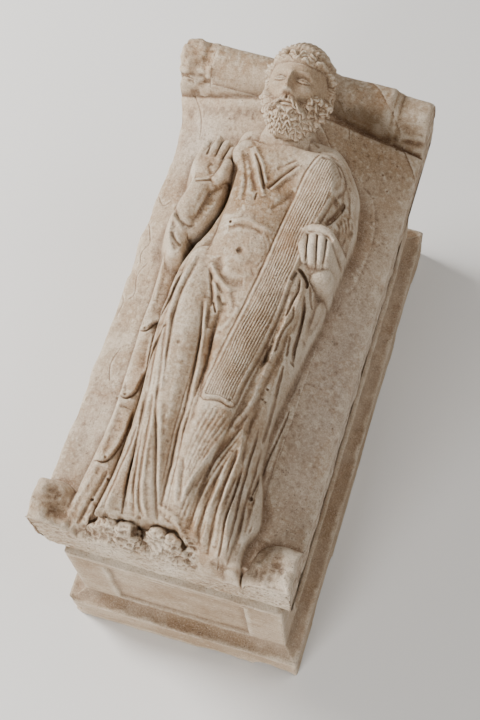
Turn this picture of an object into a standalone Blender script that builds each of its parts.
"""Small stone ossuary: a hollow chest on a moulded plinth, under a heavy gabled lid.

The lid carries a robed and bearded man in high relief, lying with the head on a bolster.
X runs across the chest, Y toward the figure's head and Z up. Metres.
"""
import math

import bmesh
import bpy
import numpy as np
from mathutils import Euler, Matrix, Vector, noise

# Driving sizes of the chest and its plinth
CHEST_LENGTH = 0.454
CHEST_WIDTH = 0.211
CHEST_HEIGHT = 0.155
WALL = 0.026
FLOOR = 0.040
PLINTH_HEIGHT = 0.070
PLINTH_LEDGE = 0.0145
MOULDING_RISE = 0.012
PANEL_DEPTH = 0.0035
STILE = 0.0385
TOP_RAIL = 0.020

# Driving sizes of the lid
SEAM_GAP = 0.0003
LID_EDGE = 0.056
GABLE_RISE = 0.048
OVERHANG_LEFT = 0.0235
OVERHANG_RIGHT = 0.0070
OVERHANG_HEAD = 0.0405
FOOT_INSET = 0.0045
FOOT_SHELF = 0.007
BOLSTER_WIDTH = 0.047
BOLSTER_HEIGHT = 0.012
END_BLOCK = 0.026
ACROTERION = 0.045
STUMP_LEFT_HEIGHT = 0.039
STUMP_RIGHT_HEIGHT = 0.027
STUMP_LEFT_HOLLOW = 0.42
STUMP_RIGHT_HOLLOW = 0.38

# Driving sizes of the figure
RELIEF = 0.033
HEAD_HEIGHT = 0.082
HEAD_TURN = math.radians(-9.0)
HEAD_BOW = math.radians(9.0)

# Places that follow from the sizes
LEDGE_Z = PLINTH_HEIGHT
SEAM_Z = LEDGE_Z + CHEST_HEIGHT
LID_Z = SEAM_Z + SEAM_GAP
EAVE_Z = LID_Z + LID_EDGE
RIDGE_Z = EAVE_Z + GABLE_RISE
LID_LEFT = -CHEST_WIDTH / 2 - OVERHANG_LEFT
LID_RIGHT = CHEST_WIDTH / 2 + OVERHANG_RIGHT
LID_FOOT = -CHEST_LENGTH / 2 + FOOT_INSET
LID_HEAD = CHEST_LENGTH / 2 + OVERHANG_HEAD
RIDGE_X = (LID_LEFT + LID_RIGHT) / 2
LID_HALF = (LID_RIGHT - LID_LEFT) / 2
BOLSTER_Y = LID_HEAD - BOLSTER_WIDTH

# The figure is laid out on a drawing whose unit is this share of the lid's length
UNIT = (LID_HEAD - LID_FOOT) / 490
DRAWING_X = 0.0
DRAWING_Y = LID_FOOT + 222.5 * UNIT

# How the dress meets the slab and falls toward the feet, in drawing units
RIM_STEP = 4
FLANK_WIDTH = 16
FLANK_RISE = 34
HEM_RISE = 8
HEM_STEP = 9
FALL_LENGTH = 50
FALL_RISE = 64

# Fineness of the faceted solid
LID_COLUMNS = 80
LID_ROWS = 160
LID_TRIANGLES = 5500
HEAD_SEGMENTS = 60
HEAD_RINGS = 40


def smooth_path(points, per_span=5):
    """Catmull-Rom curve through rows of numbers, the first two of them x and y."""
    rows = np.array(points, float)
    if len(rows) < 3:
        return rows
    padded = np.vstack([2 * rows[0] - rows[1], rows, 2 * rows[-1] - rows[-2]])
    out = []
    for index in range(len(rows) - 1):
        a, b, c, d = padded[index:index + 4]
        for step in range(per_span):
            t = step / per_span
            out.append(0.5 * (2 * b + (c - a) * t + (2 * a - 5 * b + 4 * c - d) * t ** 2
                              + (3 * b - a - 3 * c + d) * t ** 3))
    out.append(rows[-1])
    return np.array(out)


def nearest(x, y, path):
    """Distance to a path, signed side of it, share of its length, and its other columns there."""
    best = np.full(x.shape, np.inf)
    side = np.zeros(x.shape)
    share = np.zeros(x.shape)
    extra = np.zeros(x.shape + (path.shape[1] - 2,))
    lengths = np.hypot(*(path[1:, :2] - path[:-1, :2]).T)
    starts = np.concatenate([[0.0], np.cumsum(lengths)])
    for index, length in enumerate(lengths):
        if length == 0.0:
            continue
        ax, ay = path[index, :2]
        ex, ey = (path[index + 1, :2] - path[index, :2]) / length
        along = np.clip((x - ax) * ex + (y - ay) * ey, 0.0, length)
        px, py = x - ax - along * ex, y - ay - along * ey
        distance = np.hypot(px, py)
        closer = distance < best
        best = np.where(closer, distance, best)
        side = np.where(closer, np.sign(ex * py - ey * px), side)
        share = np.where(closer, (starts[index] + along) / starts[-1], share)
        t = (along / length)[..., None]
        mix = path[index, 2:] * (1 - t) + path[index + 1, 2:] * t
        extra = np.where(closer[..., None], mix, extra)
    return best, side, share, extra


def inside_distance(x, y, outline):
    """Distance to a closed outline, positive inside it."""
    closed = smooth_path(list(outline) + [outline[0]], 4)
    distance = nearest(x, y, closed)[0]
    inside = np.zeros(x.shape, bool)
    for (ax, ay), (bx, by) in zip(closed[:-1, :2], closed[1:, :2]):
        if ay != by:
            crosses = ((ay > y) != (by > y)) & (x < (bx - ax) * (y - ay) / (by - ay) + ax)
            inside ^= crosses
    return np.where(inside, distance, -distance)


def smooth_step(value, low, high):
    t = np.clip((value - low) / (high - low), 0.0, 1.0)
    return t * t * (3 - 2 * t)


def smooth_max(a, b, blend):
    gap = np.clip(0.5 + 0.5 * (a - b) / blend, 0.0, 1.0)
    return b * (1 - gap) + a * gap + blend * gap * (1 - gap)


def drawn(points):
    """Drawing rows to metres: every column is in drawing units."""
    rows = np.array(points, float) * UNIT
    rows[:, 0] += DRAWING_X
    rows[:, 1] += DRAWING_Y
    return rows


def drawn_distance(x, y, outline):
    """Distance to a drawn outline in drawing units, positive inside it."""
    return inside_distance(x, y, drawn(outline)) / UNIT


def limb(z, x, y, points, roundness=0.8, blend=4.0):
    """A rounded limb along rows of x, y, half width and height above the ridge."""
    path = smooth_path(drawn(points))
    distance, side, share, extra = nearest(x, y, path)
    radius = np.maximum(extra[..., 0], 1e-6)
    top = RIDGE_Z + extra[..., 1]
    drop = roundness * radius * (1 - np.sqrt(np.clip(1 - (distance / radius) ** 2, 0, 1)))
    body = np.where(distance < radius, top - drop, top - roundness * radius - 3 * (distance - radius))
    return smooth_max(z, body, blend * UNIT)


def fold(z, x, y, points, left, right, height):
    """A cloth fold along x, y rows: its crest falls away over one width each side."""
    path = smooth_path(drawn(points))
    distance, side, share, extra = nearest(x, y, path)
    width = np.where(side > 0, left, right) * UNIT
    ends = np.sqrt(np.clip(np.minimum(share, 1 - share) * 6, 0, 1))
    return z + height * UNIT * ends * np.exp(-(distance / width) ** 2)


# The clothed body seen from above, in drawing units
BODY_OUTLINE = [
    (-30, 170), (-43, 160), (-46, 140), (-41, 118), (-38, 95), (-44, 65), (-54, 38), (-60, 18),
    (-62, -15), (-60, -50), (-57, -90), (-57, -130), (-59, -170), (-63, -205), (-56, -222),
    (0, -225), (50, -225), (60, -210), (60, -170), (60, -100), (61, -40), (62, 10),
    (68, 50), (78, 80), (79, 112), (72, 140), (60, 156), (45, 167), (18, 173), (-8, 174)]

# The line where the dress ends on the slab beside the left arm and leg, from the foot up
LEFT_CONTOUR = [
    (68, -240), (65, -212), (65, -193), (71, -172), (66, -146), (59, -125), (57, -104), (57, -73),
    (61, -37), (66, 0), (71, 27), (73, 49), (75, 71), (76, 88), (78, 108), (75, 133), (71, 151),
    (62, 165), (49, 180), (34, 190), (20, 205)]

# The mantle that hangs behind the right side, almost flat on the slab
RIGHT_MANTLE = [
    (-50, 60), (-66, 30), (-78, 8), (-77, -40), (-76, -90), (-77, -140), (-82, -185), (-88, -226),
    (-50, -228), (-50, -120), (-48, -20)]

# The mantle below the left arm, a little higher
LEFT_MANTLE = [
    (50, 80), (70, 84), (79, 70), (78, 20), (76, -50), (75, -100), (73, -150), (77, -185), (78, -224),
    (40, -226), (40, -100), (42, 0)]

# Limbs: x, y, half width and height above the ridge
LIMBS = [
    # neck and shoulders
    [(-6, 185, 20, 30), (-6, 160, 23, 26), (-4, 146, 26, 24)],
    [(-30, 150, 15, 27), (0, 140, 26, 33), (30, 150, 24, 37), (52, 142, 20, 34)],
    # chest and belly
    [(-14, 122, 26, 33), (-12, 98, 26, 36)],
    [(-14, 72, 24, 36), (-14, 48, 23, 35)],
    # right leg, straight
    [(-36, 44, 20, 29), (-40, 0, 20, 32), (-36, -50, 19, 32), (-30, -110, 16, 30),
     (-22, -160, 12, 28), (-15, -195, 9, 26)],
    # left leg, the knee a little raised
    [(14, 40, 26, 31), (10, -20, 24, 33), (5, -80, 19, 37), (4, -110, 17, 36),
     (4, -150, 12, 31), (2, -190, 9, 28)],
    # left upper arm and the sleeve below it
    [(52, 146, 17, 29), (64, 120, 14, 22), (66, 92, 13, 19), (65, 66, 13, 19)],
    # forearm that comes forward to the fist
    [(69, 62, 12, 20), (58, 60, 15, 27)],
]

# Folds: rows of x and y, then the width to the left, the width to the right and the height
FOLDS = [
    # neckline
    ([(-36, 160), (-25, 146), (-11, 116)], 3, 3, 3.0),
    ([(17, 160), (4, 142), (-10, 120)], 3, 3, 2.5),
    # hem of the tunic over the chest and the belly fold
    ([(-33, 78), (-20, 88), (-4, 87), (8, 80)], 4, 3, 2.0),
    ([(-36, 42), (-26, 30), (-10, 26), (2, 32)], 4, 3, -3.0),
    # folds that fan from the right hip
    ([(-34, 36), (-22, 21), (-8, 18)], 3, 3, 2.5),
    ([(-34, 30), (-25, 8), (-15, -2)], 3, 3, 2.5),
    ([(-33, 26), (-26, 0), (-19, -40), (-17, -90), (-13, -140), (-8, -200)], 4, 3, 4.0),
    ([(-30, 10), (-25, -30), (-22, -80)], 3, 3, -2.0),
    # pulled folds over the right shin
    ([(-58, -30), (-48, -80), (-41, -125), (-34, -165), (-26, -196)], 4, 4, -4.0),
    ([(-50, -62), (-40, -100), (-30, -140), (-20, -172), (-10, -203)], 4, 4, -5.0),
    ([(-50, -90), (-40, -125), (-30, -170), (-19, -200)], 3, 3, 2.0),
    # fold along the left shin
    ([(44, -50), (30, -90), (21, -122), (14, -150), (4, -182)], 3, 3, 3.0),
    # pleats beside the left leg
    ([(40, -40), (34, -100), (24, -150), (18, -200), (16, -222)], 4, 4, -4.0),
    ([(46, -40), (42, -110), (34, -160), (30, -222)], 4, 4, -3.5),
    ([(50, -60), (48, -120), (43, -170), (46, -226)], 3, 3, -4.5),
    ([(50, 44), (57, 22), (57, -10), (60, -34)], 3, 3, -7.0),
    ([(51, -40), (57, -80), (59, -116)], 3, 3, -6.0),
    ([(50, -118), (53, -168), (57, -212)], 3, 3, -7.0),
    # edge of the mantle at the left side
    ([(72, 30), (70, -20), (69, -80), (66, -120), (61, -158)], 3, 3, -3.5),
    ([(73, -60), (72, -110), (70, -150), (64, -200)], 3, 3, 2.0),
    # hollow inside the left arm
    ([(58, 138), (53, 118), (51, 102)], 6, 7, -12.0),
    ([(56, 120), (66, 116), (75, 100)], 3, 4, 2.5),
    # folds of the mantle on the right side
    ([(-60, 12), (-63, -15), (-73, -39)], 3, 4, -3.0),
    ([(-60, -45), (-62, -80), (-72, -101)], 3, 4, -3.0),
    ([(-57, -112), (-60, -140), (-70, -160)], 3, 4, -3.0),
    ([(-56, -130), (-58, -180), (-66, -224)], 4, 4, -4.0),
]

# The striped band that hangs from the left shoulder
STOLE_OUTLINE = [
    (28, 170), (24, 160), (20, 140), (16, 110), (12, 80), (8, 50), (5, 20), (0, -20), (-4, -50),
    (-7, -84), (6, -86), (20, -84), (24, -60), (29, -30), (33, 0), (36, 40), (42, 90), (50, 125),
    (56, 150), (46, 170)]

# Raised hand with its sleeve, and the closed hand on the cup
SLEEVE = [(-67, 42, 9, 8), (-70, 62, 13, 13), (-68, 90, 13, 16), (-66, 110, 11, 16)]
PALM = [(-64, 116, 12, 16), (-65, 130, 13, 17), (-65, 138, 12, 17)]
FINGERS = [
    [(-74, 136, 3.6, 17), (-73, 148, 3.4, 16), (-70, 156, 3.0, 14)],
    [(-67, 138, 3.8, 18), (-66, 152, 3.6, 17), (-64, 162, 3.2, 15)],
    [(-60, 138, 3.8, 18), (-59, 152, 3.6, 17), (-58, 163, 3.2, 15)],
    [(-54, 136, 3.6, 17), (-52, 148, 3.4, 16), (-51, 158, 3.0, 14)],
    [(-55, 122, 4.4, 19), (-51, 131, 4.2, 21), (-52, 138, 3.6, 20)]]
FIST = [(55, 60, 15, 31), (52, 74, 17, 34), (50, 84, 15, 34)]
KNUCKLES = [
    [(39, 86, 3.6, 36), (40, 72, 3.6, 37), (45, 60, 3.2, 34)],
    [(46, 87, 3.6, 38), (47, 72, 3.6, 38), (50, 59, 3.2, 35)],
    [(53, 87, 3.6, 38), (54, 72, 3.6, 37), (56, 60, 3.2, 34)]]
CUP_RIM = [(36, 90, 4.5, 37), (49, 95, 4.5, 39), (63, 90, 4.5, 36)]

# Worn feet below the hem
FEET = [
    [(-50, -209, 9, -9), (-38, -211, 11, -6), (-27, -211, 10, -9)],
    [(-5, -209, 9, -5), (6, -211, 11, -3), (17, -214, 8, -12)]]

# Where the hem is broken off above the feet
HEM_BREAK = [(-62, -206), (-40, -203), (-12, -203), (6, -200), (22, -207), (30, -219), (30, -240), (-62, -240)]

# How far the eroded left edge of the slab stands in: y and inset, in drawing units
LEFT_WEAR = [
    (-222, 0), (-185, 1), (-179, 3), (-124, 5), (-48, 8), (35, 10), (71, 8), (97, 10.5), (141, 11.5),
    (174, 13), (197, 9), (218, 3), (240, 1), (268, 3)]


def slab(x, y):
    """The gabled top of the lid with its bolster, end blocks and acroteria."""
    slope = np.sqrt(((x - RIDGE_X) / LID_HALF) ** 2 + 0.003)
    z = RIDGE_Z - GABLE_RISE * slope
    foot = smooth_step(y, LID_FOOT + FOOT_SHELF, LID_FOOT + 2 * FOOT_SHELF)
    z = EAVE_Z + (z - EAVE_Z) * foot
    middle = (BOLSTER_Y + LID_HEAD) / 2
    half = BOLSTER_WIDTH / 2
    across = np.clip(1 - np.abs((y - middle) / half) ** 2.6, 0, 1) ** 0.5
    bolster = EAVE_Z + (RIDGE_Z + BOLSTER_HEIGHT - EAVE_Z) * across
    groove_left = np.abs(x - (LID_LEFT + END_BLOCK))
    groove_right = np.abs(x - (LID_RIGHT - 1.3 * END_BLOCK))
    for groove in (groove_left, groove_right):
        bolster = bolster - 0.006 * np.exp(-(groove / 0.004) ** 2)
    bolster = bolster - 0.010 * smooth_step(x, LID_RIGHT - 1.3 * END_BLOCK, LID_RIGHT - END_BLOCK)
    z = np.maximum(z, np.where(y > BOLSTER_Y, bolster, 0))
    z = acroterion(z, LID_RIGHT - x, y - LID_FOOT, STUMP_RIGHT_HEIGHT, STUMP_RIGHT_HOLLOW)
    return acroterion(z, x - LID_LEFT, y - LID_FOOT, STUMP_LEFT_HEIGHT, STUMP_LEFT_HOLLOW)


def acroterion(z, across, along, height, hollow):
    """The stump of a corner block: a rounded block, hollowed where it broke."""
    reach = (np.clip(across, 0, None) ** 3 + np.clip(along, 0, None) ** 3) ** (1 / 3) / ACROTERION
    top = height * np.clip(1 - reach ** 6, 0, 1) ** 0.5
    scar = ((across - 0.5 * ACROTERION) ** 2 + (along - 0.5 * ACROTERION) ** 2) / (0.34 * ACROTERION) ** 2
    top = top * (1 - hollow * np.exp(-scar))
    return np.where(reach < 1, np.maximum(z, EAVE_Z + top), z)


def mound(z, x, y, outline, level, soft):
    """Raise the ground inside an outline to one level, with a rounded edge."""
    depth = inside_distance(x, y, drawn(outline)) / (soft * UNIT)
    swell = np.sqrt(np.clip(1 - (1 - np.clip(depth, 0, 1)) ** 2, 0, 1))
    return z + (level - z) * swell


def beside_contour(x, y, ground, z):
    """Keeps the dress inside its contour, with a low step and a round flank."""
    distance, side, share, extra = nearest(x, y, smooth_path(drawn(LEFT_CONTOUR)))
    depth = side * distance / UNIT
    flank = np.sqrt(1 - (1 - np.clip(depth / FLANK_WIDTH, 0, 1)) ** 2)
    rise = RIM_STEP * smooth_step(depth, -1, 1) + FLANK_RISE * flank + np.clip(depth - FLANK_WIDTH, 0, None)
    return np.minimum(z, ground + rise * UNIT)


def toward_foot(y, z):
    """Brings the dress down to the foot end in a round fall."""
    share = (y - LID_FOOT) / (FALL_LENGTH * UNIT)
    fall = np.sqrt(np.clip(share, 0, 1)) + np.clip(share - 1, 0, None)
    return np.minimum(z, EAVE_Z + (HEM_RISE + FALL_RISE * fall) * UNIT)


def relief(x, y):
    """Height of the lid's upper side."""
    ground = slab(x, y)
    mantle = inside_distance(x, y, drawn(RIGHT_MANTLE))
    z = ground + 5 * UNIT * smooth_step(mantle, -1 * UNIT, 4 * UNIT)
    z = mound(z, x, y, LEFT_MANTLE, RIDGE_Z - 0.35 * RELIEF, 12)
    z = mound(z, x, y, BODY_OUTLINE, RIDGE_Z + 0.72 * RELIEF, 22)
    for points in LIMBS:
        z = limb(z, x, y, points, blend=7.0)
    for points, left, right, height in FOLDS:
        z = fold(z, x, y, points, left, right, height)
    stole = inside_distance(x, y, drawn(STOLE_OUTLINE))
    z = z + 4 * UNIT * smooth_step(stole, -1.5 * UNIT, 1.5 * UNIT)
    z = beside_contour(x, y, ground, z)
    z = limb(z, x, y, SLEEVE, blend=2.0)
    z = limb(z, x, y, PALM, roundness=0.5, blend=2.0)
    for points in FINGERS:
        z = limb(z, x, y, points, blend=1.5)
    z = limb(z, x, y, FIST, roundness=0.7, blend=2.0)
    for points in KNUCKLES:
        z = limb(z, x, y, points, blend=1.5)
    z = limb(z, x, y, CUP_RIM, blend=1.5)
    worn = smooth_step(drawn_distance(x, y, HEM_BREAK), -1, 4)
    figure = smooth_step(LID_HALF - np.abs(x - RIDGE_X), ACROTERION - 4 * UNIT, ACROTERION)
    z = z * (1 - figure) + toward_foot(y, z - HEM_STEP * UNIT * worn) * figure
    for points in FEET:
        z = limb(z, x, y, points, roundness=0.7, blend=3.0)
    return z


def worn_left(y):
    """How far the eroded left edge stands in."""
    return np.interp(y, drawn([(0, place) for place, inset in LEFT_WEAR])[:, 1],
                     [inset * UNIT for place, inset in LEFT_WEAR])


def mesh_object(name, vertices, faces, material, collection):
    mesh = bpy.data.meshes.new(name)
    mesh.from_pydata([tuple(v) for v in vertices], [], faces)
    mesh.materials.append(material)
    thing = bpy.data.objects.new(name, mesh)
    collection.objects.link(thing)
    return thing


def lid_shell(material, collection):
    """The lid as one closed shell: carved top, rough sides and flat underside."""
    across = np.linspace(0, 1, LID_COLUMNS + 1)
    along = np.linspace(0, 1, LID_ROWS + 1)
    u, v = np.meshgrid(across, along)
    y = LID_FOOT + (LID_HEAD - LID_FOOT) * v
    left = LID_LEFT + worn_left(y)
    x = left + (LID_RIGHT - left) * u
    edge = np.minimum(np.minimum(u, 1 - u) * 2 * LID_HALF, np.minimum(v, 1 - v) * (LID_HEAD - LID_FOOT))
    z = relief(x, y) - 0.003 * np.exp(-edge / 0.002)
    top = np.stack([x, y, z], -1).reshape(-1, 3)
    low = np.stack([x, y, np.full_like(z, LID_Z)], -1).reshape(-1, 3)
    columns = LID_COLUMNS + 1
    rows = LID_ROWS + 1
    count = columns * rows
    faces = []
    for row in range(LID_ROWS):
        for column in range(LID_COLUMNS):
            a = row * columns + column
            faces.append((a, a + 1, a + 1 + columns, a + columns))
            faces.append((count + a, count + a + columns, count + a + 1 + columns, count + a + 1))
    rim = [column for column in range(columns)]
    rim += [row * columns + columns - 1 for row in range(1, rows)]
    rim += [(rows - 1) * columns + column for column in range(columns - 2, -1, -1)]
    rim += [row * columns for row in range(rows - 2, 0, -1)]
    for a, b in zip(rim, rim[1:] + rim[:1]):
        faces.append((a, count + a, count + b, b))
    return mesh_object("lid", np.vstack([top, low]), faces, material, collection)


# Places on the head in shares of its height, crown to chin, from its middle
EYE_LINE = 0.0
BROW_LINE = 0.075
NOSE_BASE = -0.165
MOUTH_LINE = -0.245
HAIR_LINE = 0.27
EYE_SPACING = 0.135
HAIR_THICKNESS = 0.042
BEARD_THICKNESS = 0.112
CURL_RADIUS = 0.050
CURL_HEIGHT = 0.055


def bump(x, y, cx, cy, rx, ry):
    return np.exp(-((x - cx) / rx) ** 2 - ((y - cy) / ry) ** 2)


def head_points(direction):
    """The head around its middle, in shares of its height: x across, y to the crown, z out of the face."""
    dx, dy, dz = direction.T
    x, y, z = 0.375 * dx, 0.5 * dy, 0.44 * dz
    x = x * (1 - 0.20 * smooth_step(-y, 0.05, 0.45))
    z = z - 0.05 * smooth_step(-y, 0.1, 0.5) * smooth_step(dz, 0.0, 0.6)
    front = smooth_step(dz, 0.05, 0.45)
    face = np.zeros_like(x)
    face -= 0.050 * (bump(x, y, EYE_SPACING, EYE_LINE + 0.02, 0.09, 0.06)
                     + bump(x, y, -EYE_SPACING, EYE_LINE + 0.02, 0.09, 0.06))
    face += 0.030 * (bump(x, y, EYE_SPACING, EYE_LINE, 0.055, 0.026)
                     + bump(x, y, -EYE_SPACING, EYE_LINE, 0.055, 0.026))
    face += 0.022 * (bump(x, y, EYE_SPACING, BROW_LINE + 0.02, 0.10, 0.03)
                     + bump(x, y, -EYE_SPACING, BROW_LINE + 0.02, 0.10, 0.03))
    length = smooth_step(y, BROW_LINE + 0.02, NOSE_BASE + 0.04)
    face += (0.03 + 0.085 * length) * np.exp(-(x / (0.032 + 0.016 * length)) ** 2) \
        * smooth_step(y, NOSE_BASE - 0.02, NOSE_BASE + 0.02) * smooth_step(-y, -BROW_LINE - 0.06, -BROW_LINE)
    face += 0.03 * (bump(x, y, 0.19, -0.09, 0.07, 0.06) + bump(x, y, -0.19, -0.09, 0.07, 0.06))
    face += 0.030 * bump(x, y, 0, MOUTH_LINE - 0.028, 0.06, 0.022)
    face += 0.026 * bump(x, y, 0, MOUTH_LINE + 0.024, 0.07, 0.020)
    z = z + face * front
    points = np.stack([x, y, z], -1)
    hair = smooth_step(y + 0.10 * (dz < 0.2), HAIR_LINE - 0.02, HAIR_LINE + 0.03)
    hair = np.maximum(hair, smooth_step(-dz, -0.30, 0.0) * smooth_step(y, -0.35, -0.15))
    low = smooth_step(-y, 0.12, 0.26)
    chin = smooth_step(np.hypot(x / 0.15, (y - NOSE_BASE + 0.02) / 0.13), 0.8, 1.1)
    beard = low * chin * smooth_step(dz, -0.5, -0.1)
    thick = HAIR_THICKNESS * hair + BEARD_THICKNESS * beard
    outward = points / np.linalg.norm(points, axis=1)[:, None]
    points = points + outward * thick[:, None]
    return curled(points, outward)


def curled(points, outward):
    """Rows of short curls over the brow and down the beard."""
    centres = []
    for row in range(2):
        for column in range(-3, 4):
            angle = (column + 0.5 * row) * 0.38
            centres.append((0.37 * math.sin(angle), HAIR_LINE + 0.03 + 0.10 * row - 0.12 * math.sin(angle) ** 2,
                            (0.40 - 0.04 * row) * math.cos(angle)))
    for row in range(4):
        for column in range(-3, 4):
            angle = (column + 0.5 * (row % 2)) * 0.34
            wide = 0.38 - 0.035 * row
            centres.append((wide * math.sin(angle), NOSE_BASE - 0.13 - 0.11 * row,
                            0.46 * math.cos(angle) - 0.035 * row))
    swell = np.zeros(len(points))
    for centre in centres:
        away = np.linalg.norm(points - np.array(centre), axis=1)
        swell = np.maximum(swell, CURL_HEIGHT * np.exp(-(away / CURL_RADIUS) ** 2))
    return points + outward * swell[:, None]


def head(material, collection):
    """The head as a closed mesh, turned a little to the right and bowed to the feet."""
    shape = bmesh.new()
    bmesh.ops.create_uvsphere(shape, u_segments=HEAD_SEGMENTS, v_segments=HEAD_RINGS, radius=1.0,
                              matrix=Matrix.Rotation(math.pi / 2, 4, "X"))
    shape.verts.ensure_lookup_table()
    direction = np.array([v.co[:] for v in shape.verts])
    turn = Euler((HEAD_BOW, HEAD_TURN, 0.0)).to_matrix()
    middle = Vector((DRAWING_X - 7.5 * UNIT, DRAWING_Y + 219 * UNIT, RIDGE_Z + 0.85 * RELIEF))
    for vertex, point in zip(shape.verts, head_points(direction) * HEAD_HEIGHT):
        vertex.co = turn @ Vector(point) + middle
    mesh = bpy.data.meshes.new("head")
    shape.to_mesh(mesh)
    shape.free()
    mesh.materials.append(material)
    thing = bpy.data.objects.new("head", mesh)
    collection.objects.link(thing)
    return thing


def boolean(target, cutter, operation):
    modifier = target.modifiers.new(operation.lower() + "_" + cutter.name, "BOOLEAN")
    modifier.operation = operation
    modifier.solver = "EXACT"
    modifier.object = cutter


def hide(cutter):
    cutter.hide_render = True
    cutter.display_type = "WIRE"


def make_lid(material, parts, cutters):
    lid = lid_shell(material, parts)
    decimate = lid.modifiers.new("facets", "DECIMATE")
    whole = 4 * LID_COLUMNS * LID_ROWS + 4 * (LID_COLUMNS + LID_ROWS)
    decimate.ratio = LID_TRIANGLES / whole
    decimate.use_collapse_triangulate = True
    bearded_head = head(material, cutters)
    hide(bearded_head)
    boolean(lid, bearded_head, "UNION")
    return lid


def rock(name, place, size, seed, collection):
    """An irregular stone shape that breaks an edge."""
    shape = bmesh.new()
    bmesh.ops.create_icosphere(shape, subdivisions=2, radius=1.0)
    for vertex in shape.verts:
        rough = 1 + 0.35 * noise.noise(vertex.co * 1.3 + Vector((seed * 3.7, seed, -seed)))
        vertex.co = Vector(place) + Vector([c * s * rough for c, s in zip(vertex.co, size)])
    mesh = bpy.data.meshes.new(name)
    shape.to_mesh(mesh)
    shape.free()
    thing = bpy.data.objects.new(name, mesh)
    collection.objects.link(thing)
    hide(thing)
    return thing


def block(name, low, high, collection):
    """A box between two corners, used as a cutter."""
    shape = bmesh.new()
    size = Vector(high) - Vector(low)
    place = Matrix.Translation((Vector(high) + Vector(low)) / 2) @ Matrix.Diagonal((*size, 1.0))
    bmesh.ops.create_cube(shape, size=1.0, matrix=place)
    mesh = bpy.data.meshes.new(name)
    shape.to_mesh(mesh)
    shape.free()
    thing = bpy.data.objects.new(name, mesh)
    collection.objects.link(thing)
    hide(thing)
    return thing


def chest_sections():
    """Half width, half length and height of each ring, up the outside and down the inside."""
    half_x, half_y = CHEST_WIDTH / 2, CHEST_LENGTH / 2
    rings = [(half_x + PLINTH_LEDGE, half_y + PLINTH_LEDGE, 0.0)]
    steps = 6
    for step in range(steps + 1):
        angle = math.pi / 2 * step / steps
        out = PLINTH_LEDGE * (1 - math.sin(angle))
        rise = MOULDING_RISE * (1 - math.cos(angle))
        rings.append((half_x + out, half_y + out, LEDGE_Z - MOULDING_RISE + rise))
    rings.append((half_x, half_y, SEAM_Z))
    rings.append((half_x - WALL, half_y - WALL, SEAM_Z))
    rings.append((half_x - WALL, half_y - WALL, FLOOR))
    return rings


def make_chest(material, parts, cutters):
    vertices = []
    faces = []
    rings = chest_sections()
    for half_x, half_y, z in rings:
        vertices += [(-half_x, -half_y, z), (half_x, -half_y, z), (half_x, half_y, z), (-half_x, half_y, z)]
    for ring in range(len(rings) - 1):
        for corner in range(4):
            a = 4 * ring + corner
            b = 4 * ring + (corner + 1) % 4
            faces.append((a, b, b + 4, a + 4))
    last = 4 * (len(rings) - 1)
    faces.append((3, 2, 1, 0))
    faces.append((last, last + 1, last + 2, last + 3))
    chest = mesh_object("chest", vertices, faces, material, parts)
    half_x, half_y = CHEST_WIDTH / 2, CHEST_LENGTH / 2
    top = SEAM_Z - TOP_RAIL
    low = LEDGE_Z + 0.001
    margin = 0.01
    panels = [
        ("foot_panel", (-half_x + STILE, -half_y - margin, low), (half_x - STILE, -half_y + PANEL_DEPTH, top)),
        ("head_panel", (-half_x + STILE, half_y - PANEL_DEPTH, low), (half_x - STILE, half_y + margin, top)),
        ("left_panel", (-half_x - margin, -half_y + STILE, low), (-half_x + PANEL_DEPTH, half_y - STILE, top)),
        ("right_panel", (half_x - PANEL_DEPTH, -half_y + STILE, low), (half_x + margin, half_y - STILE, top))]
    for name, a, b in panels:
        boolean(chest, block(name, a, b, cutters), "DIFFERENCE")
    outer_x, outer_y = half_x + PLINTH_LEDGE, half_y + PLINTH_LEDGE
    breaks = [
        ((-outer_x, -outer_y, 0.030), (0.024, 0.020, 0.055)),
        ((0.30 * outer_x, -outer_y, 0.0), (0.030, 0.010, 0.010)),
        ((0.78 * outer_x, -outer_y, 0.0), (0.022, 0.012, 0.019)),
        ((outer_x, 0.30 * outer_y, 0.0), (0.010, 0.050, 0.020)),
        ((outer_x, 0.66 * outer_y, 0.0), (0.012, 0.045, 0.032)),
        ((outer_x, 0.78 * outer_y, LEDGE_Z), (0.012, 0.016, 0.022)),
        ((-outer_x, 0.40 * outer_y, 0.0), (0.009, 0.040, 0.014))]
    for number, (place, size) in enumerate(breaks):
        boolean(chest, rock("break_%d" % number, place, size, number + 1, cutters), "DIFFERENCE")
    return chest


def stone():
    material = bpy.data.materials.new("pale_limestone")
    material.use_nodes = True
    shader = material.node_tree.nodes["Principled BSDF"]
    shader.inputs["Base Color"].default_value = (0.66, 0.56, 0.44, 1.0)
    shader.inputs["Roughness"].default_value = 0.78
    shader.inputs["Metallic"].default_value = 0.0
    return material


def main():
    for thing in list(bpy.data.objects):
        bpy.data.objects.remove(thing, do_unlink=True)
    parts = bpy.data.collections.new("ossuary")
    cutters = bpy.data.collections.new("ossuary_cutters")
    bpy.context.scene.collection.children.link(parts)
    bpy.context.scene.collection.children.link(cutters)
    material = stone()
    make_chest(material, parts, cutters)
    make_lid(material, parts, cutters)


main()
